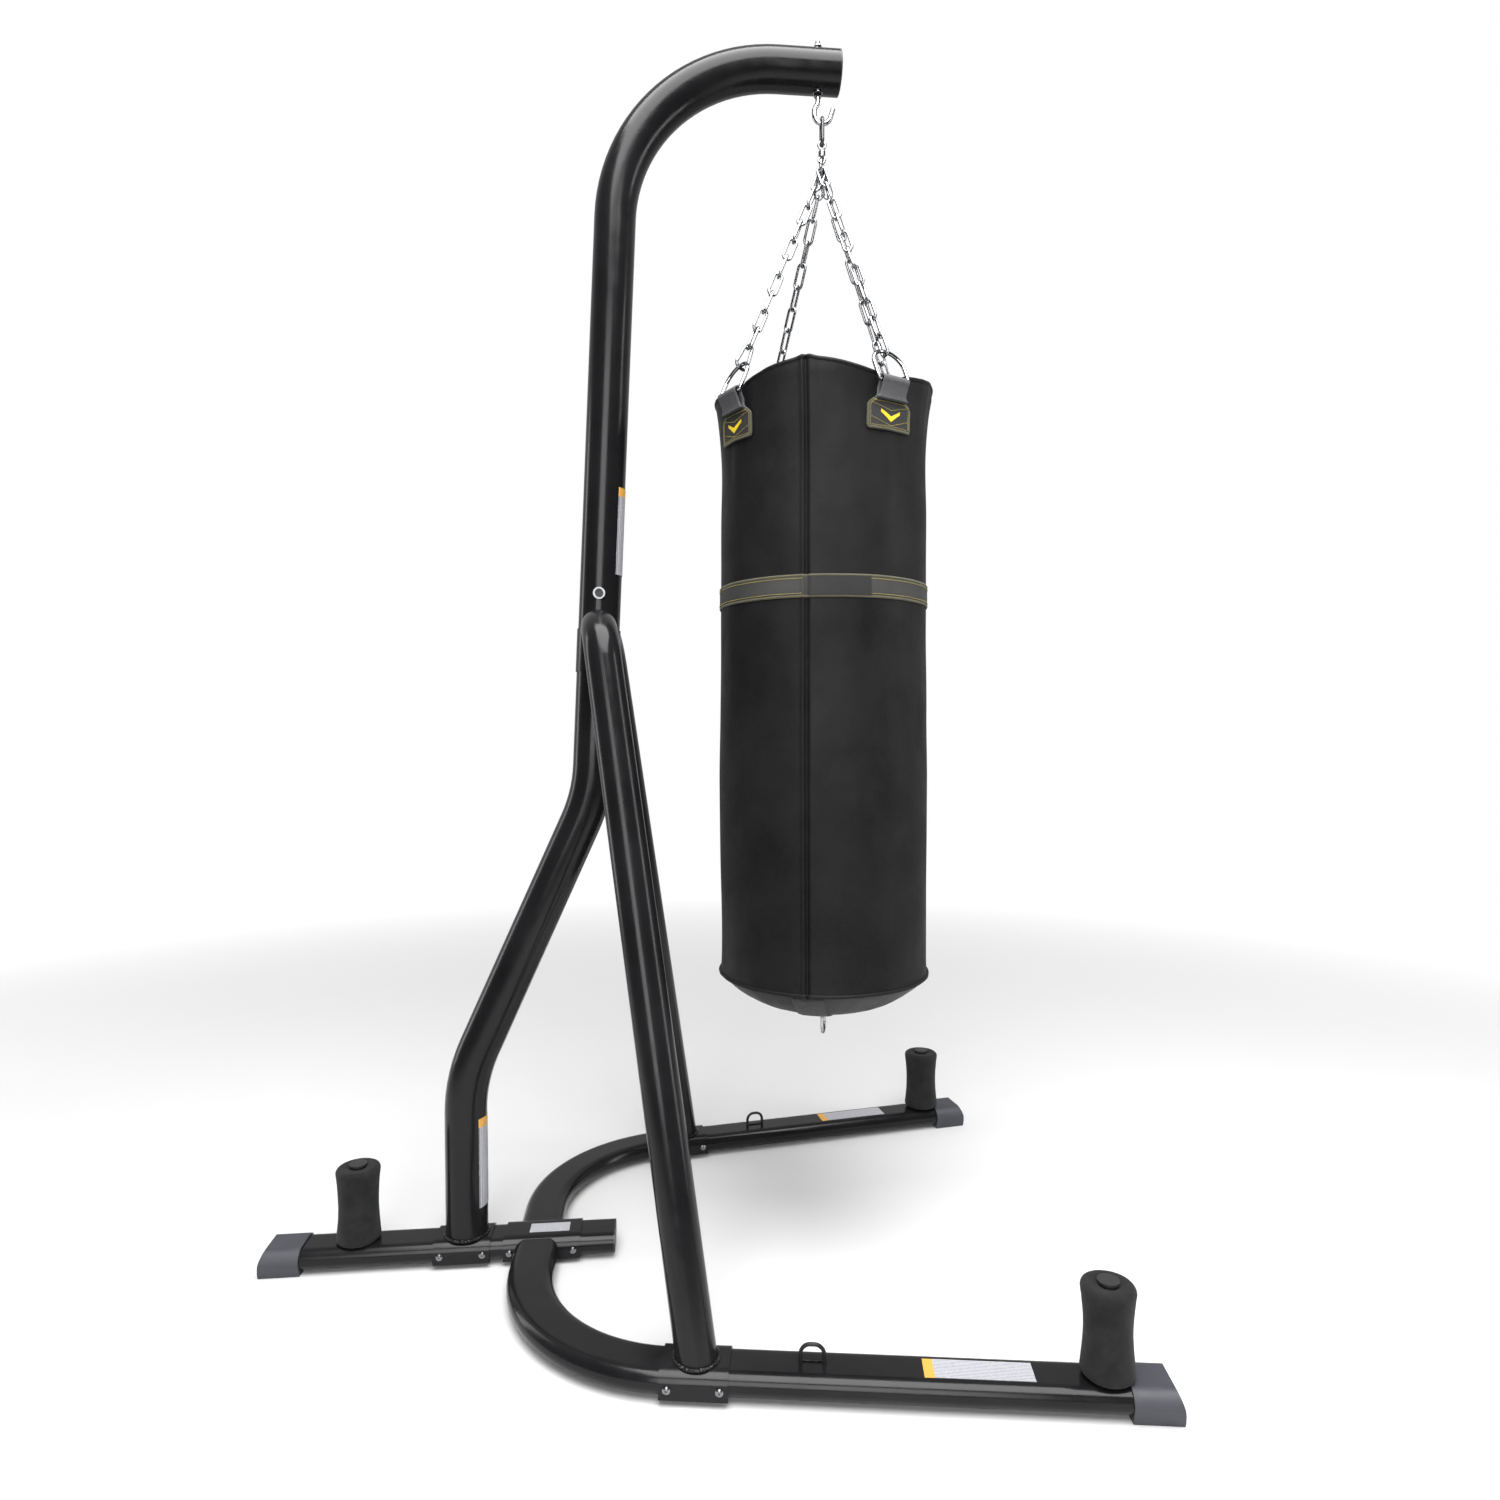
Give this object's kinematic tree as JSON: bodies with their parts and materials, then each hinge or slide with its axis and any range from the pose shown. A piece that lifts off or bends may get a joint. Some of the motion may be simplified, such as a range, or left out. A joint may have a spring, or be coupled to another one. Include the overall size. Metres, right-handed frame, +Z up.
{
  "type": "punching bag on stand",
  "caption": "Heavy punching bag hung by chains from the arm of a steel floor stand with weight pegs and an open base.",
  "frame": {"origin": "on the floor, at the middle of the footprint's length and width", "axes": "+X towards the open front of the base, +Y to the object's left side, +Z up"},
  "size_m": [1.2899, 0.9698, 1.999],
  "materials": {
    "frame_paint": "gloss black powder coat",
    "loop_paint": "satin black paint",
    "foot_plastic": "moulded grain",
    "plug_plastic": "smooth",
    "foam": "matt closed-cell foam",
    "zinc": "bright zinc",
    "hook_chrome": "bright",
    "dark_steel": "dark, worn",
    "chain_chrome": "bright",
    "ring_chrome": "bright",
    "bag_leather": "fine-grained synthetic leather",
    "bottom_leather": "fine-grained synthetic leather",
    "liner_felt": "felt",
    "filling": "packed fibre",
    "lid_fabric": "woven",
    "belt_webbing": "woven with coloured edges",
    "tab_webbing": "woven, edge-stitched",
    "bottom_webbing": "woven",
    "label_paper": "printed vinyl"
  },
  "bodies": {
    "frame": {"rear_base_tube": "frame_paint", "curve_tube_left": "frame_paint", "curve_tube_right": "frame_paint", "side_rail_left": "frame_paint", "side_rail_right": "frame_paint", "rear_saddle": "frame_paint", "centre_saddle": "frame_paint", "side_saddle_left": "frame_paint", "side_saddle_right": "frame_paint", "lower_upright": "frame_paint", "upper_upright": "frame_paint", "leg_collar": "frame_paint", "side_leg_left": "frame_paint", "side_leg_right": "frame_paint", "weld_beads": "frame_paint", "tie_loop_left": "loop_paint", "tie_loop_right": "loop_paint", "weight_pegs": "loop_paint", "foot_rear": "foot_plastic", "foot_left": "foot_plastic", "foot_right": "foot_plastic", "base_stub_plug": "plug_plastic", "arm_end_plug": "plug_plastic", "peg_caps": "plug_plastic", "foam_sleeves": "foam", "saddle_screws": "zinc", "joint_bolt": "zinc", "joint_nut": "zinc", "joint_washers": "zinc", "rail_labels": "label_paper", "saddle_label": "label_paper", "upright_labels": "label_paper", "hook_bolt": "hook_chrome", "hook_acorn_nut": "hook_chrome", "hook_lock_nut": "hook_chrome", "hook_washers": "hook_chrome"},
    "link": {"hanging_link": "dark_steel"},
    "swivel": {"swivel_eye": "hook_chrome"},
    "bag": {"swivel_barrel": "hook_chrome", "chain_ring": "hook_chrome", "chain_front_left": "chain_chrome", "chain_front_right": "chain_chrome", "chain_rear_left": "chain_chrome", "chain_rear_right": "chain_chrome", "pear_link": "chain_chrome", "strap_rings": "ring_chrome", "bag_skin": "bag_leather", "bag_rim_piping": "bag_leather", "bag_bottom_panel": "bottom_leather", "bag_liner": "liner_felt", "bag_filling": "filling", "bag_lid": "lid_fabric", "bag_belt": "belt_webbing", "strap_tab_front_left": "tab_webbing", "strap_tab_front_right": "tab_webbing", "strap_tab_rear_left": "tab_webbing", "strap_tab_rear_right": "tab_webbing", "bottom_strap": "bottom_webbing"},
    "tether_ring": {"bottom_ring": "ring_chrome"}
  },
  "joints": [
    {"name": "swing_sideways", "type": "hinge", "parent": "frame", "child": "link", "pos_m": [0.264, 0, 1.867], "axis": [1, 0, 0], "range_deg": [-12, 12]},
    {"name": "swing_fore_aft", "type": "hinge", "parent": "link", "child": "swivel", "pos_m": [0.264, 0, 1.831], "axis": [0, -1, 0], "range_deg": [-3, 20]},
    {"name": "bag_spin", "type": "hinge", "parent": "swivel", "child": "bag", "pos_m": [0.264, 0, 1.816], "axis": [0, 0, 1], "continuous": true},
    {"name": "tether_ring_flip", "type": "hinge", "parent": "bag", "child": "tether_ring", "pos_m": [0.264, 0, 0.385], "axis": [-0.309, -0.9511, 0], "range_deg": [-75, 75]}
  ]
}
